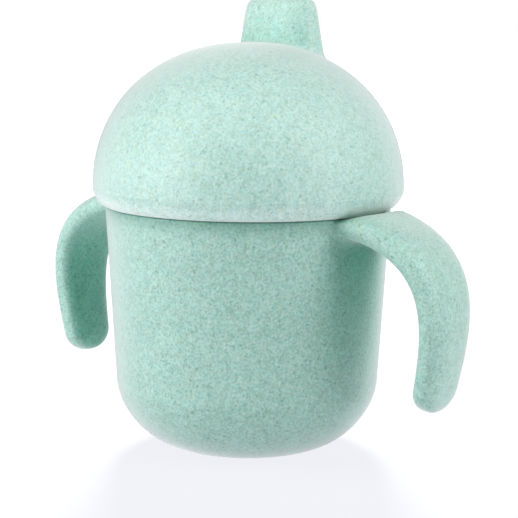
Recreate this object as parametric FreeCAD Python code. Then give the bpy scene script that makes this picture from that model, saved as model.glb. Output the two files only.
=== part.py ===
import FreeCAD, Part
import math
import os
from FreeCAD import Vector as V

# Two-handled toddler cup with a domed screw lid, a drinking spout and a
# spill-proof valve insert. Dimensions in mm.
# Frame: origin at the centre of the underside, on the resting plane; +Z up;
# the two handles lie along X; the spout is offset towards +Y.
# Outlines for revolved shapes are lists of (radius, height).
# Ovals are superellipses with (half length X, half width Y).

# ---------------------------------------------------------------- cup dimensions
# outside
foot_recess_r = 13.0        # recessed middle of the underside
foot_recess_depth = 0.8
foot_recess_slope = 0.8     # radial width of the sloping edge of the recess
foot_r = 17.35              # outer radius of the flat resting ring
bowl_top_z = 18.48          # where the rounded bottom meets the straight wall
bowl_top_r = 35.2
bowl_power = 1.807          # roundness of the bottom corner
wall_top_r = 38.0           # wall radius at wall_ref_z
wall_ref_z = 63.9
blank_top_z = 72.0          # top of the wall before the shoulder is cut
shoulder_z = 64.63          # ledge under the lid's edge
neck_r = 35.4
neck_bottom_z = 50.0        # the neck starts inside the solid cup
neck_chamfer = 0.7
rim_z = 81.0
rim_inner_r = 33.3
rim_inner_chamfer = 0.5
# cavity
cavity_floor_z = 3.8
cavity_floor_r = 13.5
cavity_low_r = 32.0
cavity_low_z = 19.5

# ---------------------------------------------------------------- thread dimensions
# three starts, right hand
thread_lead = 9.0
thread_starts = 3
thread_phase = 30.0         # degrees, where the first cup ridge starts
thread_sink = 0.5           # depth of a ridge's base inside its wall
thread_end_sink = 0.25      # depth of the crest inside the wall at the ridge's ends
thread_ramp = 16.0          # degrees over which a ridge rises to full height
cup_thread_crest_r = 36.5
cup_thread_z0 = 69.0
cup_thread_span = 130.0     # degrees
cup_thread_root_w = 1.5
cup_thread_crest_w = 0.7
lid_thread_crest_r = 35.8
lid_thread_drop = 1.0       # how far the lid's ridge sits under the cup's ridge
lid_thread_start = 18.0     # degrees after the start of the cup's ridge
lid_thread_span = 95.0
lid_thread_root_w = 1.4
lid_thread_crest_w = 0.6

# ---------------------------------------------------------------- handle dimensions
# broad flat oval section along a cubic Bezier centre line in the XZ plane
handle_ctrl = [(23.0, 65.0), (67.192, 63.93), (63.287, 41.86), (59.644, 23.494)]  # (x, z)
handle_width = (25.8, 15.65)      # at the root end and at the free end
handle_thick = (8.13, 6.83)
handle_power = 2.84
handle_steps = 14
handle_cap = 6.26                 # reach of the rounded cap past the free end
handle_cap_angles = (22, 42, 58, 71, 81)  # degrees round the cap, one per section
handle_cap_thin_power = 0.6       # the cap thins more slowly than it narrows
handle_fillets = (3.5, 3.0, 2.0)  # radii in order of preference
# upper limit of the handle roots, which leaves a gap under the lid's edge (radius, height)
handle_top_limit = [
    (37.85, shoulder_z), (38.4, 64.1), (39.0, 64.28), (40.0, 64.65), (41.0, 65.05),
    (42.0, 65.5), (43.0, 66.0), (44.5, 66.8), (60.0, 80.0),
]

# ---------------------------------------------------------------- lid dimensions
# outside
lid_edge_z = 64.88          # lower edge of the lid, nearly flush with the wall
lid_edge_r = 38.29
lid_wide_z = 69.31          # widest circle of the lid
lid_wide_r = 41.391
lid_tuck_power = 1.6        # how full the rounding under the widest circle is
dome_h = 38.4               # from the widest circle to the top of the dome
dome_power_z = 2.102
dome_power_r = 2.142
dome_top_z = lid_wide_z + dome_h
lid_wall = 2.6
# inside
lid_bore_r = 36.9           # around the cup's thread
lid_bore_chamfer = 0.3
seal_groove_r = 37.3
seal_groove_z = 80.9
lid_ledge_z = 83.2          # the face the seal rests against
lid_throat_r = 32.8

# spout
spout_y = 13.88
spout_low = (14.06, 8.0)    # oval at spout_low_z
spout_low_z = 98.0
spout_top = (10.36, 4.5)    # oval at spout_top_z
spout_top_z = 119.16
spout_base_z = 96.0         # the taper runs on down to here, inside the dome
spout_power = 2.4
spout_edge_r = 2.2
spout_foot_fillet = 1.2
spout_roof = 2.4
spout_hole_r = 1.1
spout_hole_pitch = 4.6
spout_dish_depth = 0.8
spout_dish_margin = (3.0, 2.2)    # rim left round the dish along X and Y

# sockets for the valve insert, and the channel and vent above them
socket_z = 94.5
socket_wall = 1.6
socket_bore = (11.7, 5.7)
socket_bore_top_z = 100.5
socket_skin = 1.2           # the sockets' tops stop this far under the dome's surface
channel_step = 0.5          # the channel is this much smaller than the bore below it
channel_top = (7.9, 2.3)
vent_y = 2.4
vent_bore_r = 3.7
vent_wall = 1.2
vent_hole_r = 0.8
vent_roof_z = 104.6

# ---------------------------------------------------------------- seal dimensions
seal_in_r = lid_throat_r + 0.1
seal_out_r = seal_groove_r - 0.08
seal_z0 = seal_groove_z + 0.15
seal_z1 = lid_ledge_z - 0.05
seal_chamfer = 0.35

# ---------------------------------------------------------------- valve dimensions
plate_z0 = 92.9
plate_z1 = 94.3
plate_thick = plate_z1 - plate_z0
plate_overhang = 0.3        # past the outside of the oval socket
vent_flange = 1.6           # past the vent bore
plug_clear = 0.1
plug_wall = 1.2
vent_plug_wall = 1.1
plug_top_z = 99.5
plug_overlap = 0.1          # how far the plugs start inside the plate
tab_r = 4.5                 # rounded end of the pull tab
tab_y = -11.5
tab_length = 13.0
grip_y = -9.4
grip_thick = 1.6
grip_depth = 6.4
grip_fillet = 0.7
stem_hole_r = 1.0
# ring of holes round each stem hole: (centre y, hole radius, ring radius, count)
hole_rings = [(spout_y, 0.65, 2.5, 6), (vent_y, 0.4, 1.85, 4)]
valve_travel_gap = 0.9
valve_seat_gap = 0.05
stem_r = 0.9
bulb_r = 1.45
spout_valve_r = 3.9
vent_valve_r = 3.3


# ---------------------------------------------------------------- outlines and revolving
def lines(points):
    points = [V(r, 0, z) for r, z in points]
    return [Part.LineSegment(a, b).toShape() for a, b in zip(points, points[1:])]


def curve(points, start_tangent=None, end_tangent=None):
    points = [V(r, 0, z) for r, z in points]
    spline = Part.BSplineCurve()
    if start_tangent is not None:
        spline.interpolate(Points=points, InitialTangent=start_tangent, FinalTangent=end_tangent)
    else:
        spline.interpolate(Points=points)
    return spline.toShape()


def revolved(edges):
    wire = Part.Wire(Part.__sortEdges__(edges))
    return Part.Face(wire).revolve(V(0, 0, 0), V(0, 0, 1), 360)


def poly_revolved(points):
    return revolved(lines(points + points[:1]))


def rounded_corner(r_low, r_high, z_low, z_high, power, steps):
    # quarter superellipse, flat at the low end and upright at the high end
    points = []
    for i in range(steps + 1):
        angle = 0.5 * math.pi * i / steps
        r = r_low + (r_high - r_low) * math.sin(angle) ** (2.0 / power)
        z = z_low + (z_high - z_low) * (1.0 - math.cos(angle) ** (2.0 / power))
        points.append((r, z))
    return points


def dome(inset, steps=26):
    # the lid's dome from its widest circle to its top, set in from the outside
    points = []
    for i in range(steps):
        angle = 0.5 * math.pi * i / steps
        r = (lid_wide_r - inset) * math.cos(angle) ** (2.0 / dome_power_r)
        z = lid_wide_z + (dome_h - inset) * math.sin(angle) ** (2.0 / dome_power_z)
        points.append((r, z))
    return points + [(0.0, lid_wide_z + (dome_h - inset))]


# ---------------------------------------------------------------- ovals and solids
def superellipse(half_a, half_b, power, count):
    def shaped(value):
        return math.copysign(abs(value) ** (2 / power), value)

    angles = [2 * math.pi * i / count for i in range(count)]
    return [(half_a * shaped(math.cos(a)), half_b * shaped(math.sin(a))) for a in angles]


def closed_spline(points):
    spline = Part.BSplineCurve()
    spline.interpolate(Points=points, PeriodicFlag=True)
    return Part.Wire(spline.toShape())


def oval(size, z, power=spout_power):
    # horizontal oval centred on the spout
    outline = superellipse(size[0], size[1], power, 40)
    return closed_spline([V(x, spout_y + y, z) for x, y in outline])


def oval_prism(size, z0, z1, power=spout_power):
    return Part.Face(oval(size, z0, power)).extrude(V(0, 0, z1 - z0))


def grown(size, margin):
    return (size[0] + margin, size[1] + margin)


def cylinder(r, z0, z1, x=0.0, y=0.0):
    return Part.makeCylinder(r, z1 - z0, V(x, y, z0), V(0, 0, 1))


def one(shape):
    # merge split faces and unwrap a compound that holds a single solid
    shape = shape.removeSplitter()
    if shape.ShapeType == "Compound" and len(shape.Solids) == 1:
        shape = shape.Solids[0]
    return shape


def filleted(shape, radii, edges, adds_material=True):
    # first radius that gives a sound result, or the shape unchanged
    for radius in radii:
        # guards against a fillet the kernel cannot build at this radius
        try:
            result = shape.makeFillet(radius, edges)
            if result.isValid() and (not adds_material or result.Volume > shape.Volume):
                return result
        except Exception:
            continue
    return shape


# ---------------------------------------------------------------- thread
def ridge(start_deg, span_deg, z_start, r_base, r_crest, w_base, w_crest, steps=14):
    # a tapered helical ridge; the base lies inside the wall that carries it
    out = 1.0 if r_crest > r_base else -1.0
    r_sunk = r_base - out * thread_sink
    r_end = r_base - out * thread_end_sink
    # the flanks keep their slope down into the wall
    flank = 0.5 * (w_base - w_crest) * thread_sink / abs(r_crest - r_base)
    wires = []
    for i in range(steps + 1):
        along = i / steps
        angle = math.radians(start_deg + span_deg * along)
        z = z_start + thread_lead * span_deg * along / 360.0
        rise = min(1.0, min(along, 1 - along) * span_deg / thread_ramp)
        rise = rise * rise * (3 - 2 * rise)
        r_top = r_end + (r_crest - r_end) * rise
        half_base = 0.5 * (w_crest + (w_base - w_crest) * (0.3 + 0.7 * rise)) + flank * rise
        half_top = 0.5 * w_crest * (0.4 + 0.6 * rise)
        profile = [(r_sunk, z - half_base), (r_top, z - half_top),
                   (r_top, z + half_top), (r_sunk, z + half_base)]
        points = [V(r * math.cos(angle), r * math.sin(angle), h) for r, h in profile]
        wires.append(Part.makePolygon(points + [points[0]]))
    return Part.makeLoft(wires, True, False)


def with_thread(shape, start_deg, *ridge_sizes):
    for i in range(thread_starts):
        shape = shape.fuse(ridge(360.0 / thread_starts * i + start_deg, *ridge_sizes))
    return shape


# ---------------------------------------------------------------- handle on the +X side
def handle():
    c0, c1, c2, c3 = [V(x, 0, z) for x, z in handle_ctrl]

    def centre(t):
        m = 1 - t
        return c0 * m ** 3 + c1 * (3 * m * m * t) + c2 * (3 * m * t * t) + c3 * t ** 3

    def tangent(t):
        m = 1 - t
        along = (c1 - c0) * (3 * m * m) + (c2 - c1) * (6 * m * t) + (c3 - c2) * (3 * t * t)
        return along.normalize()

    def section(middle, along, width, thick):
        normal = V(-along.z, 0, along.x)
        outline = superellipse(0.5 * width, 0.5 * thick, handle_power, 32)
        return closed_spline([middle + V(0, y, 0) + normal * h for y, h in outline])

    wires = []
    for i in range(handle_steps + 1):
        t = i / handle_steps
        width = handle_width[0] + (handle_width[1] - handle_width[0]) * t
        thick = handle_thick[0] + (handle_thick[1] - handle_thick[0]) * t
        wires.append(section(centre(t), tangent(t), width, thick))
    along = tangent(1.0)
    for degrees in handle_cap_angles:
        angle = math.radians(degrees)
        wires.append(section(c3 + along * (handle_cap * math.sin(angle)), along,
                             handle_width[1] * math.cos(angle),
                             handle_thick[1] * math.cos(angle) ** handle_cap_thin_power))
    return Part.makeLoft(wires, True, False)


# ---------------------------------------------------------------- cup body
def wall_r(z):
    return wall_top_r + (z - wall_ref_z) * (wall_top_r - bowl_top_r) / (wall_ref_z - bowl_top_z)


def cup_outside():
    bottom = rounded_corner(foot_r, bowl_top_r, 0.0, bowl_top_z, bowl_power, 18)
    wall_slope = V(wall_top_r - bowl_top_r, 0, wall_ref_z - bowl_top_z).normalize()
    return revolved(
        lines([(0, foot_recess_depth), (foot_recess_r, foot_recess_depth),
               (foot_recess_r + foot_recess_slope, 0), (foot_r, 0)])
        + [curve(bottom, V(1, 0, 0), wall_slope)]
        + lines([bottom[-1], (wall_r(blank_top_z), blank_top_z), (0, blank_top_z),
                 (0, foot_recess_depth)]))


def is_handle_joint(edge):
    # an edge that lies on the cup wall round a handle root
    first, last = edge.FirstParameter, edge.LastParameter
    for fraction in (0.5, 0.3):
        point = edge.valueAt(first + fraction * (last - first))
        on_wall = abs(math.hypot(point.x, point.y) - wall_r(point.z)) < 0.02
        if not (on_wall and abs(point.x) > 30 and 56 < point.z < blank_top_z - 0.1):
            return False
    # the wall's long upright seam is not a joint
    return not (edge.BoundBox.ZLength > 12 and edge.BoundBox.YLength < 0.1)


def cup_neck():
    neck = poly_revolved([(0, neck_bottom_z), (neck_r, neck_bottom_z),
                          (neck_r, rim_z - neck_chamfer), (neck_r - neck_chamfer, rim_z),
                          (0, rim_z)])
    return one(with_thread(neck, thread_phase, cup_thread_span, cup_thread_z0, neck_r,
                           cup_thread_crest_r, cup_thread_root_w, cup_thread_crest_w))


def cup_cavity():
    bottom = rounded_corner(cavity_floor_r, cavity_low_r, cavity_floor_z, cavity_low_z,
                            bowl_power, 18)
    wall_slope = V(rim_inner_r - cavity_low_r, 0, rim_z - cavity_low_z).normalize()
    open_r = rim_inner_r + rim_inner_chamfer
    above_rim = rim_z + 5
    return revolved(
        lines([(0, cavity_floor_z), bottom[0]])
        + [curve(bottom, V(1, 0, 0), wall_slope)]
        + lines([bottom[-1], (rim_inner_r, rim_z - rim_inner_chamfer), (open_r, rim_z),
                 (open_r, above_rim), (0, above_rim), (0, cavity_floor_z)]))


def make_cup():
    outside = cup_outside()
    right = handle()
    left = right.mirror(V(0, 0, 0), V(1, 0, 0))
    blank = one(outside.fuse([right, left]))
    # soft blend where each handle grows out of the wall
    joints = [edge for edge in blank.Edges if is_handle_joint(edge)]
    blank = filleted(blank, handle_fillets, joints)
    # flat shoulder for the lid's edge, and room for it over the handle roots
    blank = blank.cut(poly_revolved([(0, shoulder_z)] + handle_top_limit
                                    + [(0, handle_top_limit[-1][1])]))
    cup = one(blank.fuse(cup_neck()))
    return one(cup.cut(cup_cavity()))


# ---------------------------------------------------------------- lid
def lid_dome():
    outside = dome(0)
    # the rounded tuck from the lower edge out to the widest circle
    tuck = rounded_corner(lid_edge_r, lid_wide_r, lid_edge_z, lid_wide_z, lid_tuck_power, 12)
    tuck[-1] = outside[0]
    return revolved(
        lines([(0, lid_edge_z), tuck[0]])
        + [curve(tuck), curve(outside, V(0, 0, 1), V(-1, 0, 0))]
        + lines([outside[-1], (0, lid_edge_z)]))


def lid_spout():
    # tapers to a softly rounded tip
    height = spout_top_z - spout_low_z
    base = [low + (low - top) / height * (spout_low_z - spout_base_z)
            for low, top in zip(spout_low, spout_top)]
    spout = Part.makeLoft([oval(base, spout_base_z), oval(spout_top, spout_top_z)], True, True)
    tip = [edge for edge in spout.Edges if edge.BoundBox.ZMin > spout_top_z - 0.01]
    return filleted(spout, [spout_edge_r], tip, adds_material=False)


def is_spout_foot(edge):
    box = edge.BoundBox
    return box.ZMin > 98 and box.ZMax < 108 and box.YMin > 3 and box.ZLength > 0.5


def lid_hollow():
    # thread bore, seal groove and ledge, then the hollow dome
    inner = dome(lid_wall)
    above = [point for point in inner if point[0] < lid_throat_r - 0.4]
    # height at which the throat meets the inner dome
    r_low, z_low = [point for point in inner if point[0] >= lid_throat_r][-1]
    r_high, z_high = above[0]
    fraction = (r_low - lid_throat_r) / (r_low - r_high)
    meet = (lid_throat_r, z_low + (z_high - z_low) * fraction)
    mouth_r = lid_bore_r + lid_bore_chamfer
    below_edge = lid_edge_z - 1
    return revolved(
        lines([(0, below_edge), (mouth_r, below_edge), (mouth_r, lid_edge_z),
               (lid_bore_r, lid_edge_z + lid_bore_chamfer), (lid_bore_r, seal_groove_z),
               (seal_groove_r, seal_groove_z), (seal_groove_r, lid_ledge_z),
               (lid_throat_r, lid_ledge_z), meet])
        + [curve([meet] + above)]
        + lines([above[-1], (0, below_edge)]))


def lid_sockets():
    # solid bosses that hang from the roof, trimmed to stay inside the dome
    oval_boss = oval_prism(grown(socket_bore, socket_wall), socket_z, dome_top_z)
    vent_boss = cylinder(vent_bore_r + vent_wall, socket_z, dome_top_z, 0, vent_y)
    roof = dome(socket_skin)[12:]
    below = socket_z - 5
    inside_dome = revolved(
        lines([(0, below), (lid_wide_r - 5, below), roof[0]])
        + [curve(roof)]
        + lines([roof[-1], (0, below)]))
    return [oval_boss.common(inside_dome), vent_boss.common(inside_dome)]


def spout_channel():
    bore = oval_prism(socket_bore, socket_z - 1, socket_bore_top_z)
    return bore.fuse(Part.makeLoft([
        oval(grown(socket_bore, -channel_step), socket_bore_top_z),
        oval(channel_top, spout_top_z - spout_roof - spout_dish_depth)], True, True))


def make_lid():
    shell = one(lid_dome().fuse(lid_spout()))
    foot = [edge for edge in shell.Edges if is_spout_foot(edge)]
    shell = filleted(shell, [spout_foot_fillet], foot)
    lid = one(shell.cut(lid_hollow()))
    lid = one(lid.fuse(lid_sockets()))
    lid = lid.cut(spout_channel())
    lid = lid.cut(cylinder(vent_bore_r, socket_z - 1, vent_roof_z, 0, vent_y))
    lid = lid.cut(cylinder(vent_hole_r, vent_roof_z - 1, 112, 0, vent_y))
    # dished tip with the drinking holes
    dish = [half - margin for half, margin in zip(spout_top, spout_dish_margin)]
    lid = lid.cut(oval_prism(dish, spout_top_z - spout_dish_depth, spout_top_z + 1, power=2.0))
    for i in (-1, 0, 1):
        lid = lid.cut(cylinder(spout_hole_r, 112, 121, i * spout_hole_pitch, spout_y))
    thread_z = cup_thread_z0 + thread_lead * lid_thread_start / 360.0 - lid_thread_drop
    return one(with_thread(lid, thread_phase + lid_thread_start, lid_thread_span, thread_z,
                           lid_bore_r, lid_thread_crest_r, lid_thread_root_w,
                           lid_thread_crest_w))


# ---------------------------------------------------------------- seal
def make_seal():
    c = seal_chamfer
    return poly_revolved([
        (seal_in_r + c, seal_z0), (seal_out_r - c, seal_z0), (seal_out_r, seal_z0 + c),
        (seal_out_r, seal_z1 - c), (seal_out_r - c, seal_z1), (seal_in_r + c, seal_z1),
        (seal_in_r, seal_z1 - c), (seal_in_r, seal_z0 + c)])


# ---------------------------------------------------------------- valve insert
def holder_plate():
    plate = oval_prism(grown(socket_bore, socket_wall + plate_overhang), plate_z0, plate_z1)
    plate = plate.fuse(cylinder(vent_bore_r + vent_flange, plate_z0, plate_z1, 0, vent_y))
    # pull tab towards -Y with an upright grip under it
    tab = Part.makeBox(2 * tab_r, tab_length, plate_thick, V(-tab_r, tab_y, plate_z0))
    tab = tab.fuse(cylinder(tab_r, plate_z0, plate_z1, 0, tab_y))
    grip = Part.makeBox(2 * tab_r, grip_thick, grip_depth,
                        V(-tab_r, grip_y, plate_z0 - grip_depth))
    bottom = [edge for edge in grip.Edges if edge.BoundBox.ZMax < plate_z0 - 5]
    return plate.fuse([tab, grip.makeFillet(grip_fillet, bottom)])


def make_holder():
    # plate with two open-topped plugs that fit the lid's sockets
    plate = holder_plate()
    plug_size = grown(socket_bore, -plug_clear)
    plug_z0 = plate_z1 - plug_overlap
    plug = oval_prism(plug_size, plug_z0, plug_top_z)
    plug = plug.cut(oval_prism(grown(plug_size, -plug_wall), plate_z1, plug_top_z + 1))
    vent_r = vent_bore_r - plug_clear
    vent_plug = cylinder(vent_r, plug_z0, plug_top_z, 0, vent_y).cut(
        cylinder(vent_r - vent_plug_wall, plate_z1, plug_top_z + 1, 0, vent_y))
    body = one(plate.fuse([plug, vent_plug]))
    for y, hole_r, ring_r, count in hole_rings:
        body = body.cut(cylinder(stem_hole_r, 90, 96, 0, y))
        for i in range(count):
            angle = math.radians(360 / count * (i + 0.5))
            body = body.cut(cylinder(hole_r, 90, 96, ring_r * math.cos(angle),
                                     y + ring_r * math.sin(angle)))
    return one(body)


def umbrella(head_r, y, seat_z, other_z):
    # mushroom shaped silicone valve: head on one side of the plate, bulb on the other
    side = 1.0 if seat_z > other_z else -1.0
    head = seat_z + side * valve_seat_gap
    bulb = other_z - side * valve_travel_gap
    valve = poly_revolved([
        (0, head + side * 1.35), (head_r * 0.55, head + side * 1.15),
        (head_r, head + side * 0.45), (head_r, head),
        (stem_r, head), (stem_r, bulb), (bulb_r, bulb - side * 0.25),
        (bulb_r, bulb - side * 0.75), (0.8, bulb - side * 1.2), (0, bulb - side * 1.2)])
    valve.translate(V(0, y, 0))
    return valve


# ---------------------------------------------------------------- output
parts = {
    "cup_body": make_cup(),
    "lid": make_lid(),
    "lid_seal": make_seal(),
    "valve_holder": make_holder(),
    "spout_valve": umbrella(spout_valve_r, spout_y, plate_z1, plate_z0),
    "vent_valve": umbrella(vent_valve_r, vent_y, plate_z0, plate_z1),
}

os.makedirs("parts", exist_ok=True)
for name, shape in parts.items():
    # a revolved outline can come out inside out, depending on its direction
    if shape.Volume < 0:
        shape.reverse()
    shape.exportStep(os.path.join("parts", name + ".step"))
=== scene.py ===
import math

import bpy
import numpy as np
from mathutils import Matrix, Vector


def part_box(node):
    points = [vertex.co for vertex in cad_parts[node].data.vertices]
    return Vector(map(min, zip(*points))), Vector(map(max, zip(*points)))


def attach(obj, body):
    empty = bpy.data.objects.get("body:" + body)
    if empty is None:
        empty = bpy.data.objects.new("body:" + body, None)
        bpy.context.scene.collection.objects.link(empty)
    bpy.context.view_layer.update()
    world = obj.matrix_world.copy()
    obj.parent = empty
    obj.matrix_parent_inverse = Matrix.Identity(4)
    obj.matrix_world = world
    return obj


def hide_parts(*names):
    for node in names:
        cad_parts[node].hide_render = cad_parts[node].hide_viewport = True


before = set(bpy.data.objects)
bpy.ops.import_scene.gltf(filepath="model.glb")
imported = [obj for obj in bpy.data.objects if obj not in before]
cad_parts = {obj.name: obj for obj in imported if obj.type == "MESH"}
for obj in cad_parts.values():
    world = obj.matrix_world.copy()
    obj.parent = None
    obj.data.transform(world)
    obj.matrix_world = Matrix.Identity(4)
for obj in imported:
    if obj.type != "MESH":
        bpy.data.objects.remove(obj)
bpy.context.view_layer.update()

MM = 0.001

# ---------------------------------------------------------------- dimensions, mm (the CAD's own)
FOOT_R, BOWL_Z, BOWL_R, BOWL_P = 17.35, 18.48, 35.2, 1.807
WALL_R, WALL_Z, SHOULDER_Z = 38.0, 63.9, 64.72
NECK_R, RIM_Z, RIM_IN = 35.4, 81.0, 33.3
CAV_Z, CAV_R0, CAV_R, CAV_ZT = 3.8, 13.5, 32.0, 19.5
EDGE_Z, EDGE_R, WIDE_Z, WIDE_R, DOME_H = 64.88, 38.29, 69.31, 41.391, 38.4
DOME_PZ, DOME_PR, LID_T = 2.102, 2.142, 2.6
BORE_R, GROOVE_R, GROOVE_Z, LEDGE_Z, THROAT_R = 36.9, 37.3, 80.9, 83.2, 32.8
LEAD, STARTS = 9.0, 3
HANDLE = np.array([(23.0, 65.0), (67.192, 63.93), (63.287, 41.86), (59.644, 23.494)])
HW, HT, HP, HCAP = (25.8, 15.65), (8.13, 6.83), 2.84, 6.26
SPOUT_Y, S_LOW, S_TOP, S_P = 13.88, (14.06, 8.0, 98.0), (10.36, 4.5, 119.16), 2.4
VENT_Y = 2.4


# ---------------------------------------------------------------- implicit shapes
def smin(a, b, k):
    h = np.maximum(k - np.abs(a - b), 0.0) / k
    return np.minimum(a, b) - h * h * h * k / 6.0


def smax(a, b, k):
    return -smin(-a, -b, k)


def sstep(x):
    x = np.clip(x, 0.0, 1.0)
    return x * x * (3.0 - 2.0 * x)


class Grid2:
    """A function of two variables, tabled and read back by linear interpolation."""

    def __init__(self, lo, hi, h, values=None):
        self.lo, self.h = np.array(lo, float), h
        self.n = np.ceil((np.array(hi) - self.lo) / h).astype(int) + 1
        self.values = values

    def points(self):
        a = self.lo[0] + self.h * np.arange(self.n[0])
        b = self.lo[1] + self.h * np.arange(self.n[1])
        return np.meshgrid(a, b, indexing="ij")

    def __call__(self, a, b, table=None):
        t = self.values if table is None else table
        u = np.clip((a - self.lo[0]) / self.h, 0, self.n[0] - 1.001)
        v = np.clip((b - self.lo[1]) / self.h, 0, self.n[1] - 1.001)
        i, j = u.astype(np.int32), v.astype(np.int32)
        u, v = u - i, v - j
        return ((t[i, j] * (1 - u) + t[i + 1, j] * u) * (1 - v)
                + (t[i, j + 1] * (1 - u) + t[i + 1, j + 1] * u) * v)


def rounded(points):
    """Corners given as (r, z, radius) become arcs."""
    out = []
    n = len(points)
    for i, (x, y, rad) in enumerate(points):
        c = np.array((x, y), float)
        if rad <= 0:
            out.append(c)
            continue
        a = np.array(points[i - 1][:2], float) - c
        b = np.array(points[(i + 1) % n][:2], float) - c
        la, lb = np.linalg.norm(a), np.linalg.norm(b)
        a, b = a / la, b / lb
        ang = math.acos(max(-1.0, min(1.0, float(a @ b))))
        t = min(rad / math.tan(ang / 2), 0.48 * la, 0.48 * lb)
        r = t * math.tan(ang / 2)
        mid = (a + b) / np.linalg.norm(a + b)
        centre = c + mid * (r / math.sin(ang / 2))
        p0, p1 = c + a * t, c + b * t
        a0 = math.atan2(p0[1] - centre[1], p0[0] - centre[0])
        a1 = math.atan2(p1[1] - centre[1], p1[0] - centre[0])
        d = (a1 - a0 + math.pi) % (2 * math.pi) - math.pi
        for s in range(9):
            q = a0 + d * s / 8
            out.append(centre + r * np.array((math.cos(q), math.sin(q))))
    return np.array(out)


def section(points, h=0.2, pad=7.0):
    """Signed distance to a half section turned about the axis, negative inside."""
    p = np.array(points, float)
    p = np.vstack([p, p[::-1] * (-1, 1)])
    keep = np.linalg.norm(p - np.roll(p, 1, 0), axis=1) > 1e-6
    p = p[keep]
    q = np.roll(p, -1, 0)
    g = Grid2((-1.0, p[:, 1].min() - pad), (p[:, 0].max() + pad, p[:, 1].max() + pad), h)
    x, y = g.points()
    best = np.full(x.shape, 1e9)
    inside = np.zeros(x.shape, bool)
    for (ax, ay), (bx, by) in zip(p, q):
        dx, dy = bx - ax, by - ay
        l2 = dx * dx + dy * dy
        t = np.clip(((x - ax) * dx + (y - ay) * dy) / l2, 0, 1)
        best = np.minimum(best, (x - ax - t * dx) ** 2 + (y - ay - t * dy) ** 2)
        if ay != by:
            cross = ((ay > y) != (by > y)) & (x < dx * (y - ay) / dy + ax)
            inside ^= cross
    best = np.sqrt(best)
    g.values = np.where(inside, -best, best)
    return g


def bowl(r0, r1, z0, z1, power, n=22):
    a = np.linspace(0, math.pi / 2, n + 1)
    c, s = np.clip(np.cos(a), 0, 1), np.clip(np.sin(a), 0, 1)
    return [(r0 + (r1 - r0) * s[i] ** (2 / power), z0 + (z1 - z0) * (1 - c[i] ** (2 / power)), 0)
            for i in range(n + 1)]


def dome(r_max, height, n=60):
    a = np.linspace(0, math.pi / 2, n + 1)
    c, s = np.clip(np.cos(a), 0, 1), np.clip(np.sin(a), 0, 1)
    return [(r_max * c[i] ** (2 / DOME_PR), WIDE_Z + height * s[i] ** (2 / DOME_PZ), 0)
            for i in range(n + 1)]


def oval_rho(x, y, a, b, p):
    return ((np.abs(x) / a) ** p + (np.abs(y) / b) ** p) ** (1 / p)


def oval_dist(x, y, a, b, p):
    """About the distance to a vertical superellipse tube."""
    rho = np.maximum(oval_rho(x, y, a, b, p), 1e-6)
    q = np.hypot(x, y)
    gx = (np.abs(x) / a) ** (p - 1) / a
    gy = (np.abs(y) / b) ** (p - 1) / b
    grad = np.hypot(gx, gy) * rho ** (1 - p) + 1e-9
    return np.where(rho > 0.2, (rho - 1) / grad, q - np.minimum(a, b))


def thread(theta, z, start, span, z0, height, half_root, half_crest):
    out = 0.0
    for i in range(STARTS):
        phi = np.degrees(theta) - start - 360.0 / STARTS * i
        phi = np.mod(phi + 20.0, 360.0) - 20.0
        dz = np.abs(z - z0 - LEAD * phi / 360.0)
        k = sstep(np.minimum(phi, span - phi) / 16.0)
        w = 0.5 + 0.5 * k
        s = sstep((half_root * w + 0.06 - dz) / (half_root - half_crest + 0.12))
        out = np.maximum(out, height * k * s)
    return out


# the handle's centre line, tabled as nearest parameter and offset in the XZ plane
def handle_tables(h=0.4):
    g = Grid2((14.0, 8.0), (78.0, 80.0), h)
    x, z = g.points()
    ts = np.linspace(0, 1, 401)
    m = 1 - ts
    P = HANDLE
    c = (P[0] * (m ** 3)[:, None] + P[1] * (3 * m * m * ts)[:, None]
         + P[2] * (3 * m * ts * ts)[:, None] + P[3] * (ts ** 3)[:, None])
    best = np.full(x.shape, 1e9)
    tt = np.zeros(x.shape)
    for i in range(400):
        a, b = c[i], c[i + 1]
        d = b - a
        s = np.clip(((x - a[0]) * d[0] + (z - a[1]) * d[1]) / (d @ d), 0, 1)
        q = (x - a[0] - s * d[0]) ** 2 + (z - a[1] - s * d[1]) ** 2
        hit = q < best
        best = np.where(hit, q, best)
        tt = np.where(hit, (i + s) / 400, tt)
    m = 1 - tt
    cx = P[0, 0] * m ** 3 + P[1, 0] * 3 * m * m * tt + P[2, 0] * 3 * m * tt * tt + P[3, 0] * tt ** 3
    cz = P[0, 1] * m ** 3 + P[1, 1] * 3 * m * m * tt + P[2, 1] * 3 * m * tt * tt + P[3, 1] * tt ** 3
    dx = 3 * ((P[1, 0] - P[0, 0]) * m * m + 2 * (P[2, 0] - P[1, 0]) * m * tt + (P[3, 0] - P[2, 0]) * tt * tt)
    dz = 3 * ((P[1, 1] - P[0, 1]) * m * m + 2 * (P[2, 1] - P[1, 1]) * m * tt + (P[3, 1] - P[2, 1]) * tt * tt)
    ln = np.hypot(dx, dz)
    dx, dz = dx / ln, dz / ln
    off = -(x - cx) * dz + (z - cz) * dx
    along = np.where(tt >= 1, (x - cx) * dx + (z - cz) * dz, 0.0)
    return g, tt, off, np.maximum(along, 0.0)


H_GRID, H_T, H_OFF, H_END = handle_tables()


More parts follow.
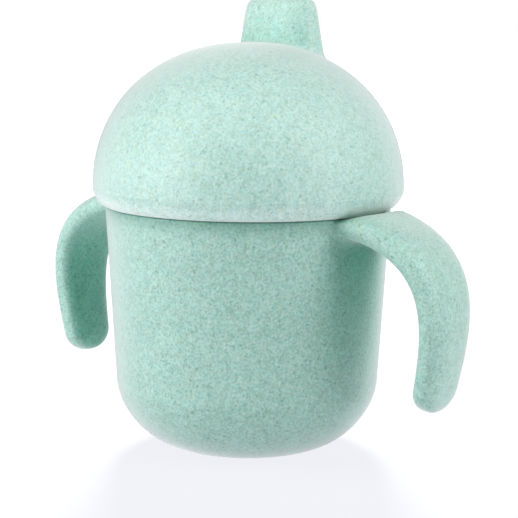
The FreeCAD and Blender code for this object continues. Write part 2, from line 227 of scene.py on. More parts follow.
def handle(x, y, z):
    ax = np.abs(x)
    t = H_GRID(ax, z, H_T)
    n = H_GRID(ax, z, H_OFF)
    u = H_GRID(ax, z, H_END)
    a = 0.5 * (HW[0] + (HW[1] - HW[0]) * t)
    b = 0.5 * (HT[0] + (HT[1] - HT[0]) * t)
    # rounded end: the width closes as a circle arc, the thickness more bluntly
    u = u / HCAP
    m = np.clip(1 - u * u, 0.06, 1.0)
    yy, nn = np.abs(y) / a, np.abs(n) / b * m ** 0.2
    core = np.maximum((yy ** HP + nn ** HP) ** (1 / HP), 1e-3)
    rho = np.sqrt(core * core + u * u)
    q = np.sqrt(y * y + n * n + (u * HCAP) ** 2)
    # gradient length of rho, so that the value reads as a distance near the surface
    gc = np.hypot((yy ** (HP - 1)) / a, (nn ** (HP - 1)) / b) * core ** (1 - HP)
    grad = np.hypot(gc * core, u / HCAP) / rho + 1e-9
    return np.where(rho > 0.25, (rho - 1) / grad, q - np.minimum(a, b))


# ---------------------------------------------------------------- cup
WALL_SLOPE = (WALL_R - BOWL_R) / (WALL_Z - BOWL_Z)
cup_wall = section(rounded(
    [(0, 0.8, 0), (13.0, 0.8, 0.5), (13.8, 0, 0.6)] + bowl(FOOT_R, BOWL_R, 0.0, BOWL_Z, BOWL_P)
    + [(WALL_R + (72.0 - WALL_Z) * WALL_SLOPE, 72.0, 0), (0, 72.0, 0)]))
root_limit = section(rounded([
    (28.0, 64.1, 0), (38.4, 64.1, 0), (39.0, 64.28, 0), (40.0, 64.65, 0), (41.0, 65.05, 0),
    (42.0, 65.5, 0), (43.0, 66.0, 0), (44.5, 66.8, 0), (60.0, 80.0, 0), (28.0, 80.0, 0)]))
cup_neck = section(rounded([(0, 50, 0), (NECK_R, 50, 0), (NECK_R, RIM_Z, 0.9), (0, RIM_Z, 0)]))
cup_cavity = section(rounded([(0, CAV_Z, 0)] + bowl(CAV_R0, CAV_R, CAV_Z, CAV_ZT, BOWL_P)
                             + [(RIM_IN, RIM_Z + 8, 0), (0, RIM_Z + 8, 0)]))


def cup_body(x, y, z):
    r = np.hypot(x, y)
    th = np.arctan2(y, x)
    grip = smax(handle(x, y, z), -root_limit(r, z), 1.8)
    # the blend into the wall is wide below and on the sides, and tight under the lid
    k = 1.0 + 6.0 * (1.0 - sstep((z - 58.5) / 5.0))
    f = smin(smax(cup_wall(r, z), z - SHOULDER_Z, 0.5), grip, k)
    ridge = thread(th, z, 30.0, 130.0, 69.0, 1.1, 0.75, 0.35)
    f = smin(f, cup_neck(r, z) - ridge, 0.7)
    return smax(f, -cup_cavity(r, z), 1.6)


# ---------------------------------------------------------------- lid
_tuck = [(EDGE_R + (WIDE_R - EDGE_R) * math.sin(a) ** 1.25,
          WIDE_Z - (WIDE_Z - EDGE_Z) * max(math.cos(a), 0.0) ** 1.25, 0)
         for a in np.linspace(0, math.pi / 2, 25)]
lid_outer = section(rounded([(0, EDGE_Z, 0)] + _tuck + dome(WIDE_R, DOME_H)[1:]))
_inner = dome(WIDE_R - LID_T, DOME_H - LID_T)
_keep = [q for q in _inner if q[0] < THROAT_R - 0.2]
_lo = [q for q in _inner if q[0] >= THROAT_R][-1]
_f = (_lo[0] - THROAT_R) / (_lo[0] - _keep[0][0])
_meet = (THROAT_R, _lo[1] + (_keep[0][1] - _lo[1]) * _f, 2.0)
lid_hollow = section(rounded([
    (0, 58, 0), (BORE_R, 58, 0), (BORE_R, GROOVE_Z, 0.2), (GROOVE_R, GROOVE_Z, 0.15),
    (GROOVE_R, LEDGE_Z, 0.3), (THROAT_R, LEDGE_Z, 0.6), _meet] + _keep))


def lid(x, y, z):
    r = np.hypot(x, y)
    th = np.arctan2(y, x)
    ys = y - SPOUT_Y
    k = (z - S_LOW[2]) / (S_TOP[2] - S_LOW[2])
    k = np.clip(k, -0.2, 1.2)
    a = S_LOW[0] + (S_TOP[0] - S_LOW[0]) * k
    b = S_LOW[1] + (S_TOP[1] - S_LOW[1]) * k
    spout = oval_dist(x, ys, a, b, S_P)
    spout = smax(spout, z - S_TOP[2], 4.0)
    spout = np.maximum(spout, 95.0 - z)
    f = smin(lid_outer(r, z), spout, 2.6)
    # hollow inside, with the two sockets left standing
    vent_r = np.hypot(x, y - VENT_Y)
    boss = np.minimum(oval_dist(x, ys, 13.3, 7.3, S_P), vent_r - 4.9)
    boss = smax(boss, 94.5 - z, 0.5)
    ridge = thread(th, z, 30.0 + 18.0, 95.0, 69.0 + 9.0 * 18.0 / 360.0 - 1.0, 1.1, 0.7, 0.3)
    hollow = lid_hollow(r, z) + ridge
    hollow = smax(hollow, -boss, 0.9)
    f = smax(f, -hollow, 0.7)
    # spout channel and vent bore
    c = np.clip((z - 100.5) / (115.96 - 100.5), 0, 1)
    channel = oval_dist(x, ys, 11.2 + (7.9 - 11.2) * c, 5.2 + (2.3 - 5.2) * c, S_P)
    channel = np.maximum(channel, z - 115.96)
    low = np.maximum(oval_dist(x, ys, 11.7, 5.7, S_P), z - 100.5)
    low = np.minimum(low, np.maximum(vent_r - 3.7, z - 104.6))
    bore = np.maximum(np.minimum(channel, low), 93.0 - z)
    f = smax(f, -bore, 0.45)
    # dished tip, drinking holes, vent hole
    dish = smax(oval_dist(x, ys, 7.36, 2.3, 2.0), 118.36 - z, 0.6)
    f = smax(f, -dish, 0.8)
    holes = np.minimum(np.minimum(np.hypot(x, ys), np.hypot(x - 4.6, ys)),
                       np.hypot(x + 4.6, ys)) - 1.1
    holes = np.maximum(holes, 112.0 - z)
    f = smax(f, -holes, 0.5)
    vent = np.maximum(vent_r - 0.8, 103.0 - z)
    return smax(f, -vent, 0.5)


# ---------------------------------------------------------------- valve insert
def rbox(x, y, z, cx, cy, cz, hx, hy, hz, rad):
    qx, qy, qz = np.abs(x - cx) - hx + rad, np.abs(y - cy) - hy + rad, np.abs(z - cz) - hz + rad
    out = np.sqrt(np.maximum(qx, 0) ** 2 + np.maximum(qy, 0) ** 2 + np.maximum(qz, 0) ** 2)
    return out + np.minimum(np.maximum(qx, np.maximum(qy, qz)), 0) - rad


def valve_holder(x, y, z):
    ys, yv = y - SPOUT_Y, y - VENT_Y
    rs, rv = np.hypot(x, ys), np.hypot(x, yv)
    slab = np.abs(z - 93.6) - 0.7
    plan = np.minimum(oval_dist(x, ys, 13.6, 7.6, S_P), rv - 5.3)
    tab = np.maximum(np.abs(x) - 4.5, -(y + 11.5))
    tab = np.where(y < -11.5, np.hypot(x, y + 11.5) - 4.5, np.abs(x) - 4.5)
    tab = np.maximum(tab, y - 1.5)
    plan = smin(plan, tab, 2.0)
    plate = smax(plan, slab, 0.6)
    grip = rbox(x, y, z, 0, -8.6, 89.9, 4.5, 0.8, 3.4, 0.6)
    f = smin(plate, grip, 1.2)
    plug = smax(np.maximum(oval_dist(x, ys, 11.6, 5.6, S_P), -oval_dist(x, ys, 10.4, 4.4, S_P)),
                np.maximum(z - 99.5, 93.5 - z), 0.5)
    vplug = smax(np.maximum(rv - 3.6, 2.5 - rv), np.maximum(z - 99.5, 93.5 - z), 0.5)
    f = smin(f, np.minimum(plug, vplug), 0.5)
    holes = np.minimum(rs - 1.0, rv - 1.0)
    for i in range(6):
        t = math.radians(60 * i + 30)
        holes = np.minimum(holes, np.hypot(x - 2.5 * math.cos(t), ys - 2.5 * math.sin(t)) - 0.65)
    for i in range(4):
        t = math.radians(90 * i + 45)
        holes = np.minimum(holes, np.hypot(x - 1.85 * math.cos(t), yv - 1.85 * math.sin(t)) - 0.4)
    holes = np.maximum(holes, np.abs(z - 93.6) - 2.0)
    return smax(f, -holes, 0.25)


# ---------------------------------------------------------------- meshing
def surface(F, lo, hi, h, reach=2.2, relax=3, steps=3, B=5):
    """Quads on F = 0: one vertex per cell that the surface crosses, then drawn onto F = 0."""
    lo = np.array(lo, float)
    nb = (np.ceil((np.array(hi, float) - lo) / (h * B))).astype(int)
    n = nb * B + 1
    ax = [lo[i] + h * (B * np.arange(nb[i]) + B / 2) for i in range(3)]
    cx, cy, cz = np.meshgrid(*ax, indexing="ij")
    C = F(cx.ravel(), cy.ravel(), cz.ravel()).reshape(nb)
    active = np.argwhere(np.abs(C) < h * B * 0.5 * math.sqrt(3) * reach)
    sign = np.where(C < 0, -1.0, 1.0).astype(np.float32)
    vol = np.repeat(np.repeat(np.repeat(sign, B, 0), B, 1), B, 2)
    vol = np.pad(vol, ((0, 1), (0, 1), (0, 1)), mode="edge")
    o = np.arange(B + 1)
    ox, oy, oz = np.meshgrid(o, o, o, indexing="ij")
    ox, oy, oz = ox.ravel(), oy.ravel(), oz.ravel()
    for s in range(0, len(active), 3000):
        a = active[s:s + 3000] * B
        ix = (a[:, 0:1] + ox).ravel()
        iy = (a[:, 1:2] + oy).ravel()
        iz = (a[:, 2:3] + oz).ravel()
        vol[ix, iy, iz] = F(lo[0] + h * ix, lo[1] + h * iy, lo[2] + h * iz)
    neg = vol < 0
    cells = np.zeros(n - 1, np.uint8)
    for dx in (0, 1):
        for dy in (0, 1):
            for dz in (0, 1):
                cells += neg[dx:n[0] - 1 + dx, dy:n[1] - 1 + dy, dz:n[2] - 1 + dz]
    mixed = (cells > 0) & (cells < 8)
    idx = np.full(n - 1, -1, np.int64)
    cell = np.argwhere(mixed)
    idx[mixed] = np.arange(len(cell))
    acc = np.zeros((len(cell), 3))
    cnt = np.zeros(len(cell))
    quads = []
    for axis in range(3):
        s0 = [slice(None)] * 3
        s1 = [slice(None)] * 3
        s0[axis], s1[axis] = slice(0, -1), slice(1, None)
        va, vb = vol[tuple(s0)], vol[tuple(s1)]
        e = np.argwhere((va < 0) != (vb < 0))
        fa, fb = va[tuple(e.T)].astype(float), vb[tuple(e.T)].astype(float)
        pos = e.astype(float)
        pos[:, axis] += fa / (fa - fb)
        b, c = (axis + 1) % 3, (axis + 2) % 3
        ring = []
        for db, dc in ((0, 0), (-1, 0), (-1, -1), (0, -1)):
            q = e.copy()
            q[:, b] += db
            q[:, c] += dc
            ring.append(q)
        ok = np.ones(len(e), bool)
        for q in ring:
            ok &= (q >= 0).all(1) & (q < n - 1).all(1)
        ids = []
        for q in ring:
            i = idx[tuple(q[ok].T)]
            ids.append(i)
            for d in range(3):
                acc[:, d] += np.bincount(i, pos[ok][:, d], len(cell))
            cnt += np.bincount(i, minlength=len(cell))
        quad = np.stack(ids, 1)
        flip = (fa[ok] > 0)
        quad[flip] = quad[flip][:, ::-1]
        quads.append(quad)
    quads = np.concatenate(quads)
    v = lo + h * acc / np.maximum(cnt, 1)[:, None]
    edges = np.concatenate([quads[:, [0, 1]], quads[:, [1, 2]], quads[:, [2, 3]], quads[:, [3, 0]]])
    both = np.concatenate([edges, edges[:, ::-1]])
    deg = np.bincount(both[:, 0], minlength=len(v))

    def project(v, times, eps=0.02, cap=0.5):
        for _ in range(times):
            f = F(v[:, 0], v[:, 1], v[:, 2])
            g = np.empty_like(v)
            for d in range(3):
                w = v.copy()
                w[:, d] += eps
                f1 = F(w[:, 0], w[:, 1], w[:, 2])
                w[:, d] -= 2 * eps
                f0 = F(w[:, 0], w[:, 1], w[:, 2])
                g[:, d] = (f1 - f0) / (2 * eps)
            g2 = np.maximum((g * g).sum(1), 0.05)
            move = -(f / g2)[:, None] * g
            ln = np.linalg.norm(move, axis=1)
            v = v + move * np.minimum(1.0, cap * h / np.maximum(ln, 1e-9))[:, None]
        return v

    v = project(v, 1)
    for _ in range(relax):
        m = np.stack([np.bincount(both[:, 0], v[both[:, 1], d], len(v)) for d in range(3)], 1)
        m /= np.maximum(deg, 1)[:, None]
        v = project(0.5 * v + 0.5 * m, 1)
    v = project(v, steps)
    return v, quads


def to_object(name, v, quads):
    me = bpy.data.meshes.new(name)
    me.vertices.add(len(v))
    me.vertices.foreach_set("co", (v * MM).astype(np.float32).ravel())
    me.loops.add(quads.size)
    me.loops.foreach_set("vertex_index", quads.astype(np.int32).ravel())
    me.polygons.add(len(quads))
    k = quads.shape[1]
    me.polygons.foreach_set("loop_start", np.arange(0, quads.size, k, dtype=np.int32))
    me.polygons.foreach_set("use_smooth", np.ones(len(quads), bool))
    me.update(calc_edges=True)
    me.validate()
    ob = bpy.data.objects.new(name, me)
    bpy.context.scene.collection.objects.link(ob)
    return ob


def lathe(name, profile, turns=160, y0=0.0):
    """A closed section, as (r, z) with radii for its corners, turned about a vertical axis."""
    p = rounded(profile)
    keep = np.linalg.norm(p - np.roll(p, 1, 0), axis=1) > 1e-5
    p = p[keep]
    on_axis = p[:, 0] < 1e-6
    a = np.linspace(0, 2 * math.pi, turns, endpoint=False)
    verts, faces, index = [], [], []
    for (r, z), ax in zip(p, on_axis):
        if ax:
            index.append(np.full(turns, len(verts)))
            verts.append((0, y0, z))
        else:
            index.append(len(verts) + np.arange(turns))
            verts.extend(zip(r * np.cos(a), y0 + r * np.sin(a), np.full(turns, z)))
    bm_faces = []
    for i in range(len(p)):
        j = (i + 1) % len(p)
        if on_axis[i] and on_axis[j]:
            continue
        for t in range(turns):
            u = (t + 1) % turns
            q = [index[i][t], index[i][u], index[j][u], index[j][t]]
            q = [q[m] for m in range(4) if q[m] != q[m - 1]]
            bm_faces.append([int(w) for w in q])
    me = bpy.data.meshes.new(name)
    me.from_pydata([tuple(c * MM for c in w) for w in verts], [], bm_faces)
    me.polygons.foreach_set("use_smooth", np.ones(len(me.polygons), bool))
    me.update()
    me.validate()
    ob = bpy.data.objects.new(name, me)
    bpy.context.scene.collection.objects.link(ob)
    return ob


H = 0.45
v, q = surface(cup_body, (-67, -39.5, -1.2), (67, 39.5, 82.2), H)
cup = to_object("cup_shell", v, q)
v, q = surface(lid, (-43, -43, 63.6), (43, 43, 120.6), H)
cap = to_object("lid_shell", v, q)
v, q = surface(valve_holder, (-14.5, -17, 85.5), (14.5, 22.5, 100.5), 0.25)
holder = to_object("valve_insert_plate", v, q)
print("faces", len(cup.data.polygons), len(cap.data.polygons), len(holder.data.polygons))

ring = lathe("seal_ring", [(32.9, 81.05, 0.6), (34.0, 81.05, 0.1), (34.3, 81.3, 0.1), (34.7, 81.3, 0.1),
                           (35.0, 81.05, 0.1), (37.22, 81.05, 0.35), (37.22, 83.15, 0.35),
                           (32.9, 83.15, 0.6)], 240)


def umbrella(name, head_r, y0, seat, other, up):
    s = 1.0 if up else -1.0
    h0 = seat + s * 0.05
    bulb = other - s * 0.9
    pts = [(0, h0 + s * 1.35, 0), (head_r * 0.55, h0 + s * 1.18, 1.6), (head_r, h0 + s * 0.45, 0.3),
           (head_r, h0, 0.05), (0.9, h0, 0.1), (0.9, bulb, 0.1), (1.45, bulb - s * 0.25, 0.2),
           (1.45, bulb - s * 0.75, 0.3), (0.8, bulb - s * 1.2, 0.3), (0, bulb - s * 1.2, 0)]
    if not up:
        pts = pts[::-1]
    return lathe(name, pts, 72, y0)


spout_disc = umbrella("spout_mushroom", 3.9, SPOUT_Y, 94.3, 92.9, True)
vent_disc = umbrella("vent_mushroom", 3.3, VENT_Y, 92.9, 94.3, False)

for ob, node, body, mat in (
        (cup, "cup_body", "cup", "cup_shell"), (cap, "lid", "lid", "lid_shell"),
        (ring, "lid_seal", "seal", "seal_silicone"),
        (holder, "valve_holder", "valve_insert", "valve_plastic"),
        (spout_disc, "spout_valve", "spout_disc", "valve_silicone"),
        (vent_disc, "vent_valve", "vent_disc", "valve_silicone")):
    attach(ob, body)
    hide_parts(node)
    lo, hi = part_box(node)
    co = np.empty(len(ob.data.vertices) * 3, np.float32)
    ob.data.vertices.foreach_get("co", co)
    co = co.reshape(-1, 3)
    print(node, "CAD", [round(c * 1000, 2) for c in (*lo, *hi)],
          "mesh", [round(float(c) * 1000, 2) for c in (*co.min(0), *co.max(0))])


# ---------------------------------------------------------------- materials
class Graph:
    """A small helper to write node materials as expressions."""

    def __init__(self, name):
        self.mat = bpy.data.materials.new(name)
        self.mat.use_nodes = True
        self.tree = self.mat.node_tree
        self.bsdf = self.tree.nodes["Principled BSDF"]
        # coordinates of the piece itself, in millimetres
        co = self.node("ShaderNodeTexCoord")
        self.mm = self.vec("SCALE", co.outputs["Object"], scale=1000.0)

    def node(self, kind, inputs=None, **props):
        n = self.tree.nodes.new(kind)
        for k, v in props.items():
            setattr(n, k, v)
        for k, v in (inputs or {}).items():
            self.feed(n.inputs[k], v)
        return n

    def feed(self, socket, v):
        if isinstance(v, bpy.types.NodeSocket):
            self.tree.links.new(v, socket)
        elif v is not None:
            socket.default_value = (*v, 1.0) if socket.type == "RGBA" and len(v) == 3 else v

    def vec(self, op, a, b=None, scale=None):
        n = self.node("ShaderNodeVectorMath", operation=op)
        self.feed(n.inputs[0], a)
        self.feed(n.inputs[1], b)
        if scale is not None:
            self.feed(n.inputs["Scale"], scale)
        return n.outputs["Value" if op in ("DOT_PRODUCT", "LENGTH") else "Vector"]

    def math(self, op, a, b=None, c=None):
        n = self.node("ShaderNodeMath", operation=op)
        for i, v in enumerate((a, b, c)):
            self.feed(n.inputs[i], v)
        return n.outputs[0]

    def ramp(self, v, lo, hi, a=0.0, b=1.0):
        n = self.node("ShaderNodeMapRange", {"Value": v, "From Min": lo, "From Max": hi,
                                             "To Min": a, "To Max": b},
                      interpolation_type="SMOOTHSTEP")
        return n.outputs["Result"]

    def noise(self, at, scale, detail=2.0, rough=0.5, warp=0.0):
        n = self.node("ShaderNodeTexNoise", {"Vector": at, "Scale": scale, "Detail": detail,
                                             "Roughness": rough, "Distortion": warp})
        return n.outputs["Fac"], n.outputs["Color"]

    def turned(self, at, angles, stretch, shift=(0, 0, 0)):
        n = self.node("ShaderNodeMapping", {"Vector": at, "Rotation": angles, "Scale": stretch,
                                            "Location": shift})
        return n.outputs[0]

    def mix(self, fac, a, b, mode="MIX"):
        n = self.node("ShaderNodeMix", data_type="RGBA", blend_type=mode)
        self.feed(n.inputs["Factor"], fac)
        self.feed(n.inputs["A"], a)
        self.feed(n.inputs["B"], b)
        return n.outputs["Result"]

    def dots(self, at, scale, radius, share, soft):
        """Round specks: a share of the cells holds one, each of its own size."""
        n = self.node("ShaderNodeTexVoronoi", {"Vector": at, "Scale": scale, "Randomness": 1.0})
        rnd = self.node("ShaderNodeSeparateColor", {"Color": n.outputs["Color"]})
        size = self.math("MULTIPLY_ADD", rnd.outputs[1], 0.7 * radius, 0.5 * radius)
        edge = self.math("DIVIDE", self.math("SUBTRACT", size, n.outputs["Distance"]), soft)
        edge = self.math("ADD", edge, 0.5)
        n2 = self.node("ShaderNodeClamp", {"Value": edge})
        return self.math("MULTIPLY", n2.outputs[0], self.math("LESS_THAN", rnd.outputs[0], share))

    def bump(self, height, distance, strength=1.0, normal=None):
        n = self.node("ShaderNodeBump", {"Height": height, "Distance": distance,
                                         "Strength": strength})
        self.feed(n.inputs["Normal"], normal)
        return n.outputs[0]

    def edges(self, lo=0.52, hi=0.60):
        g = self.node("ShaderNodeNewGeometry")
        return self.ramp(g.outputs["Pointiness"], lo, hi)

    def put(self, **inputs):
        for k, v in inputs.items():
            self.feed(self.bsdf.inputs[k.replace("_", " ")], v)


def fibre_plastic(name, base, seed, k=1.0, lid_shadow_z=None, belt=None):
    """Plant-fibre filled plastic: mint ground, dark bran specks, pale straw flecks, satin skin."""
    g = Graph(name)
    at = g.vec("ADD", g.mm, (seed, 2.3 * seed, -1.7 * seed))
    drift = g.noise(at, 0.45, 1.0)[1]
    warped = g.vec("ADD", at, g.vec("SCALE", g.vec("SUBTRACT", drift, (0.5, 0.5, 0.5)), scale=1.6))
    mottle = g.ramp(g.noise(at, 0.075, 3.0, 0.6)[0], 0.32, 0.68, -1.0, 1.0)
    coarse = g.ramp(g.noise(warped, 0.50, 2.0, 0.6)[0], 0.28, 0.72, -1.0, 1.0)
    fine = g.ramp(g.noise(at, 1.55, 1.5, 0.6)[0], 0.28, 0.72, -1.0, 1.0)
    tone = g.math("MULTIPLY_ADD", coarse, 0.08 * k, 1.0)
    tone = g.math("MULTIPLY_ADD", fine, 0.14 * k, tone)
    tone = g.math("MULTIPLY_ADD", mottle, 0.03, tone)
    red = g.math("MULTIPLY_ADD", tone, 1.35, -0.35)
    # short straw fibres lying in all directions
    straw = None
    for angles, shift in (((0.3, 0.9, 0.2), 11.0), ((1.9, 0.4, 1.1), 37.0), ((0.8, 2.2, 2.0), 71.0),
                          ((1.2, 1.1, 2.7), 93.0)):
        f = g.noise(g.turned(warped, angles, (1.9, 1.9, 0.75), (shift, 0, 0)), 1.0, 1.0, 0.5)[0]
        f = g.ramp(f, 0.64, 0.76)
        straw = f if straw is None else g.math("MAXIMUM", straw, f)
    bran = g.dots(warped, 0.52, 0.20, 0.40, 0.10)
    small = g.dots(g.vec("ADD", warped, (17.0, 5.0, 9.0)), 1.15, 0.30, 0.55, 0.2)
    dark = g.math("MAXIMUM", g.math("MULTIPLY", bran, 0.50 * k), g.math("MULTIPLY", small, 0.42 * k))
    hue = g.ramp(g.noise(g.vec("ADD", at, (31.0, 8.0, 57.0)), 0.7, 2.0, 0.6)[0], 0.3, 0.7, -1.0, 1.0)
    red = g.math("MULTIPLY_ADD", hue, 0.06, red)
    blue = g.math("MULTIPLY_ADD", hue, -0.035, g.math("MULTIPLY_ADD", tone, 1.15, -0.15))
    colour = g.mix(1.0, base, g.node("ShaderNodeCombineColor", {
        "Red": red, "Green": tone, "Blue": blue}).outputs[0], "MULTIPLY")
    pale = tuple(c + 0.45 * (0.85 - c) for c in base)
    colour = g.mix(g.math("MULTIPLY", straw, 0.42), colour, pale)
    deep = (base[0] * 0.22, base[1] * 0.42, base[2] * 0.36)
    colour = g.mix(dark, colour, deep)
    # painted sheen: the colour is whitened where the skin turns away from the eye, standing in for the white
    # surroundings reflected at grazing angles
    turned = g.node("ShaderNodeLayerWeight", {"Blend": 0.5}).outputs["Facing"]
    # open_ is 1 where the skin is open and falls off in closed corners; it also drives the painted corner shade
    # below
    open_ = g.node("ShaderNodeAmbientOcclusion", {"Distance": 0.035}, samples=6,
                   only_local=True).outputs["AO"]
    open_ = g.ramp(open_, 0.30, 0.90)
    painted_rim_sheen = g.math("MULTIPLY", g.ramp(turned, 0.30, 1.0), open_)
    colour = g.mix(g.math("MULTIPLY", painted_rim_sheen, 0.55), colour, (0.56, 0.655, 0.62))
    # rims and corners are rubbed paler and smoother
    worn = g.math("MULTIPLY", g.edges(), g.ramp(g.noise(at, 0.35, 3.0, 0.7)[0], 0.35, 0.65, 0.25, 1.0))
    colour = g.mix(g.math("MULTIPLY", worn, 0.22), colour, (0.74, 0.82, 0.79))
    rough = g.math("MULTIPLY_ADD", coarse, 0.04, 0.50)
    rough = g.math("MULTIPLY_ADD", mottle, 0.035, rough)
    rough = g.math("MULTIPLY_ADD", dark, 0.12, rough)
    rough = g.math("MULTIPLY_ADD", worn, -0.10, rough)
    height = g.math("MULTIPLY_ADD", fine, 0.5, coarse)
    height = g.math("MULTIPLY_ADD", straw, 0.8, height)
    height = g.math("MULTIPLY_ADD", dark, -1.2, height)
    # painted shade: deep inside corners, between handle and wall, the colour is darkened and made more saturated,
    # standing in for shade and light bounced between the green faces; the sheen goes too
    colour = g.mix(open_, g.mix(1.0, colour, (0.40, 0.84, 0.72), "MULTIPLY"), colour)
    high = g.node("ShaderNodeSeparateXYZ", {"Vector": g.mm}).outputs["Z"]
    if lid_shadow_z:
        # painted shadow: darker right under the lid's edge, standing in for the shade the lid's overhang casts on
        # the wall and the shade in the gap beneath it
        painted_lid_shadow = g.node("ShaderNodeAmbientOcclusion", {"Distance": 0.0075}, samples=6).outputs["AO"]
        painted_lid_shadow = g.math("MULTIPLY", g.ramp(painted_lid_shadow, 0.98, 0.50), g.ramp(high, lid_shadow_z - 17, lid_shadow_z - 8))
        cast_shadow_band = g.node("ShaderNodeMapRange", {"Value": high, "From Min": lid_shadow_z - 5.5, "From Max": lid_shadow_z})
        cast_shadow_band = g.math("POWER", cast_shadow_band.outputs[0], 1.7)
        cast_shadow_band = g.math("MULTIPLY", cast_shadow_band, g.math("LESS_THAN", high, lid_shadow_z + 0.8))
        reach = g.vec("LENGTH", g.vec("MULTIPLY", g.mm, (1.0, 1.0, 0.0)))
        cast_shadow_band = g.math("MULTIPLY", cast_shadow_band, g.ramp(reach, 40.2, 38.4))
        painted_lid_shadow = g.math("MAXIMUM", painted_lid_shadow, cast_shadow_band)
        colour = g.mix(painted_lid_shadow, colour, g.mix(1.0, colour, (0.36, 0.56, 0.50), "MULTIPLY"))
    if belt:
        # a faint moulded line round the widest circle
        line = g.math("ABSOLUTE", g.math("SUBTRACT", high, belt))
        line = g.math("MULTIPLY", g.ramp(line, 0.5, 0.0), g.ramp(g.noise(at, 0.05, 1.0)[0], 0.40, 0.58))
        height = g.math("MULTIPLY_ADD", line, 5.0, height)
        # painted light: below the widest circle, where the lid turns under towards its lower edge, the colour is
        # made paler, standing in for light bounced up from the floor
        rubbed = g.ramp(high, belt, belt - 2.8)
        colour = g.mix(rubbed, colour, g.mix(1.0, colour, (1.38, 1.22, 1.26), "MULTIPLY"))
    g.put(Base_Color=colour, Roughness=rough, Normal=g.bump(height, 0.000012),
          Sheen_Weight=open_, Sheen_Roughness=0.35, Sheen_Tint=(1.0, 1.0, 1.0),
          Specular_IOR_Level=g.math("MULTIPLY_ADD", open_, 0.65, 0.15))
    return g.mat


def smooth_plastic(name, base, seed):
    """Plain injection-moulded plastic: faint flow marks, a fine spark-eroded grain, rubbed corners."""
    g = Graph(name)
    at = g.vec("ADD", g.mm, (seed, -seed, 0.5 * seed))
    flow = g.noise(g.turned(at, (0.2, 0.4, 0.3), (0.5, 0.12, 0.5)), 0.5, 3.0, 0.6, 1.2)[0]
    grain = g.noise(at, 5.0, 2.0, 0.6)[0]
    dust = g.dots(at, 0.7, 0.09, 0.25, 0.05)
    colour = g.mix(g.ramp(flow, 0.35, 0.65), base, tuple(c * 0.93 for c in base))
    colour = g.mix(g.math("MULTIPLY", dust, 0.5), colour, (0.45, 0.44, 0.40))
    worn = g.edges()
    colour = g.mix(g.math("MULTIPLY", worn, 0.3), colour, (0.95, 0.96, 0.95))
    rough = g.math("MULTIPLY_ADD", flow, 0.12, 0.26)
    rough = g.math("MULTIPLY_ADD", worn, 0.12, rough)
    g.put(Base_Color=colour, Roughness=rough, Normal=g.bump(grain, 0.00001),
          Subsurface_Weight=0.15, Subsurface_Radius=(0.002, 0.002, 0.0018), Sheen_Weight=0.05)
    return g.mat


def silicone(name, base, seed):
    """Milky food-grade silicone: soft skin, clouding inside, lint on the surface."""
    g = Graph(name)
    at = g.vec("ADD", g.mm, (seed, seed, -seed))
    cloud = g.noise(at, 0.5, 3.0, 0.6)[0]
    grain = g.noise(at, 3.5, 2.0, 0.6)[0]
    lint = g.dots(at, 0.9, 0.10, 0.35, 0.05)
    colour = g.mix(g.ramp(cloud, 0.3, 0.7), base, tuple(c * 0.9 for c in base))
    colour = g.mix(g.math("MULTIPLY", lint, 0.35), colour, (0.97, 0.97, 0.95))
    rough = g.math("MULTIPLY_ADD", grain, 0.16, 0.42)
    rough = g.math("MULTIPLY_ADD", g.edges(), -0.08, rough)
    g.put(Base_Color=colour, Roughness=rough, Normal=g.bump(grain, 0.000012),
          Subsurface_Weight=0.6, Subsurface_Radius=(0.003, 0.003, 0.0028), Sheen_Weight=0.3,
          Sheen_Roughness=0.4)
    return g.mat


# the floor: what lights the cup from below, and what the camera and mirror-like rays see
FLOOR_A, FLOOR_B = (0.052, 0.052, 0.054), (0.048, 0.048, 0.050)
FLOOR_GLOW, FLOOR_SEEN = 0.70, 0.88
WORLD_GLOSS, WORLD_FILL = 1.0, 0.0
LIGHTS = [(-60, 8, 2.16), (60, 8, 1.32), (60, 38, 1.14), (-60, 38, 1.05), (-60, 66, 0.89),
          (-90, 8, 0.86), (90, 38, 0.66), (60, 66, 0.62), (150, 8, 0.31), (30, 38, 0.31),
          (-90, 38, 0.30), (150, 38, 0.14), (0, 66, 0.10)]
# a lamp behind the cup that reaches only the floor: the soft shadow running forward
BACK_LAMP = (181, 30, 30.0)

# the cup gets the painted shadow under the lid's edge, reaching down from the shoulder height
cup.data.materials.append(fibre_plastic("fibre_plastic_cup", (0.318, 0.545, 0.465), 3.0, 1.0, lid_shadow_z=SHOULDER_Z))
cap.data.materials.append(fibre_plastic("fibre_plastic_lid", (0.400, 0.617, 0.545), 41.0, 0.85, belt=WIDE_Z + 0.3))
holder.data.materials.append(smooth_plastic("insert_plastic", (0.80, 0.83, 0.80), 7.0))
ring.data.materials.append(silicone("ring_silicone", (0.80, 0.84, 0.82), 5.0))
rubber = silicone("valve_silicone", (0.78, 0.84, 0.83), 19.0)
for ob in (spout_disc, vent_disc):
    ob.data.materials.append(rubber)

# ---------------------------------------------------------------- stage, light, camera
bpy.ops.mesh.primitive_plane_add(size=12, location=(0, 0, 0))
floor = bpy.context.object
floor.name = "floor"
g = Graph("floor_white")
t = g.tree
t.nodes.remove(g.bsdf)
out = [n for n in t.nodes if n.type == "OUTPUT_MATERIAL"][0]
far = g.ramp(g.vec("LENGTH", g.mm), 150.0, 600.0)
grain = g.noise(g.mm, 0.35, 2.0)[0]
tint = g.mix(g.ramp(grain, 0.3, 0.7), FLOOR_A, FLOOR_B)
path = g.node("ShaderNodeLightPath")
seen = g.math("MAXIMUM", path.outputs["Is Camera Ray"], path.outputs["Is Glossy Ray"])
diffuse = g.node("ShaderNodeBsdfDiffuse", {"Color": tint})
glow = g.math("MULTIPLY_ADD", g.math("MULTIPLY", seen, far), 0.5, g.math(
    "MULTIPLY_ADD", seen, FLOOR_SEEN - FLOOR_GLOW, FLOOR_GLOW))
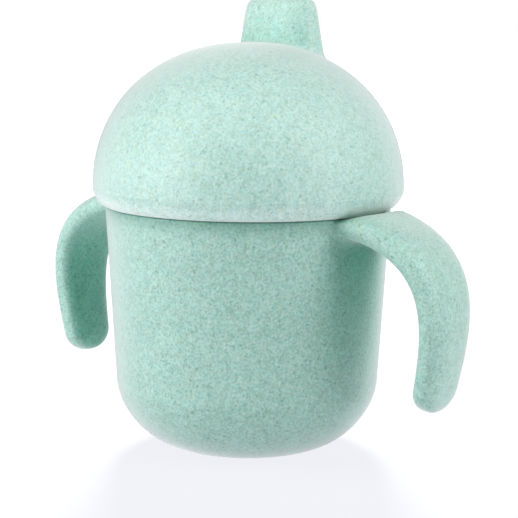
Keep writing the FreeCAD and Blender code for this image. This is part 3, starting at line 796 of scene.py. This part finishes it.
emit = g.node("ShaderNodeEmission", {"Color": (0.945, 0.955, 1.0), "Strength": glow})
both = g.node("ShaderNodeAddShader")
t.links.new(diffuse.outputs[0], both.inputs[0])
t.links.new(emit.outputs[0], both.inputs[1])
t.links.new(both.outputs[0], out.inputs["Surface"])
floor.data.materials.append(g.mat)

world = bpy.data.worlds.new("world")
bpy.context.scene.world = world
world.use_nodes = True
wt = world.node_tree
path = wt.nodes.new("ShaderNodeLightPath")
strength = wt.nodes.new("ShaderNodeMath")
strength.operation = "MULTIPLY_ADD"
wt.links.new(path.outputs["Is Camera Ray"], strength.inputs[0])
strength.inputs[1].default_value = 1.0
gloss = wt.nodes.new("ShaderNodeMath")
gloss.operation = "MULTIPLY_ADD"
wt.links.new(path.outputs["Is Glossy Ray"], gloss.inputs[0])
gloss.inputs[1].default_value = WORLD_GLOSS
gloss.inputs[2].default_value = WORLD_FILL
wt.links.new(gloss.outputs[0], strength.inputs[2])
wt.links.new(strength.outputs[0], wt.nodes["Background"].inputs[1])
wt.nodes["Background"].inputs[0].default_value = (1, 1, 1, 1)

PHI, EL, DIST, FPX, ZT, TX, ROLL = 37.552, 8.818, 439.219, 1635.279, 49.896, 2.999, 0.455
# soft lights round the object: bearing from the camera (to the right), elevation, watts
for i, (az, el, watts) in enumerate(LIGHTS + [BACK_LAMP]):
    a, h = math.radians(PHI + az), math.radians(el)
    d = Vector((math.sin(a) * math.cos(h), -math.cos(a) * math.cos(h), math.sin(h)))
    data = bpy.data.lights.new("softbox_%02d" % i, "AREA")
    data.shape, data.size, data.energy = "DISK", 0.36, watts
    lamp = bpy.data.objects.new("softbox_%02d" % i, data)
    lamp.location = Vector((0, 0, 0.06)) + d * 0.7
    lamp.rotation_euler = d.to_track_quat("Z", "Y").to_euler()
    lamp.visible_camera = False
    bpy.context.scene.collection.objects.link(lamp)
    if i == len(LIGHTS):
        data.size = 0.16
        only = bpy.data.collections.new("floor_only")
        only.objects.link(floor)
        lamp.light_linking.receiver_collection = only
        # its shadow is cast by a thin skin inside the cup's wall, so that the handles cast none
        skin = [(r - 1.0, h + 1.2, 0) for r, h, _ in bowl(FOOT_R, BOWL_R, 0.0, BOWL_Z, BOWL_P)]
        skin = skin + [(34.6, 80.0, 0)] + [(r - 0.3, h + 0.3, 0) for r, h, _ in skin[::-1]]
        skin = lathe("shadow_skin", [(0, 1.2, 0)] + skin + [(0, 1.5, 0)], 96)
        for kind in ("camera", "diffuse", "glossy", "transmission", "volume_scatter"):
            setattr(skin, "visible_" + kind, False)
        casts = bpy.data.collections.new("floor_shadow")
        casts.objects.link(skin)
        lamp.light_linking.blocker_collection = casts

p, e, ro = math.radians(PHI), math.radians(EL), math.radians(ROLL)
back = Vector((math.sin(p) * math.cos(e), -math.cos(p) * math.cos(e), math.sin(e)))
right = Vector((math.cos(p), math.sin(p), 0))
up = back.cross(right)
loc = Vector((0, 0, ZT)) + TX * right + DIST * back
r2 = math.cos(ro) * right + math.sin(ro) * up
u2 = -math.sin(ro) * right + math.cos(ro) * up
cam = bpy.data.cameras.new("camera")
cam.sensor_width = 36.0
cam.lens = FPX / 518.0 * 36.0
cam.clip_start, cam.clip_end = 0.02, 20
camera = bpy.data.objects.new("camera", cam)
bpy.context.scene.collection.objects.link(camera)
camera.matrix_world = Matrix(((r2.x, u2.x, back.x, loc.x * MM), (r2.y, u2.y, back.y, loc.y * MM),
                              (r2.z, u2.z, back.z, loc.z * MM), (0, 0, 0, 1)))
bpy.context.scene.camera = camera
bpy.context.scene.view_settings.view_transform = "Standard"
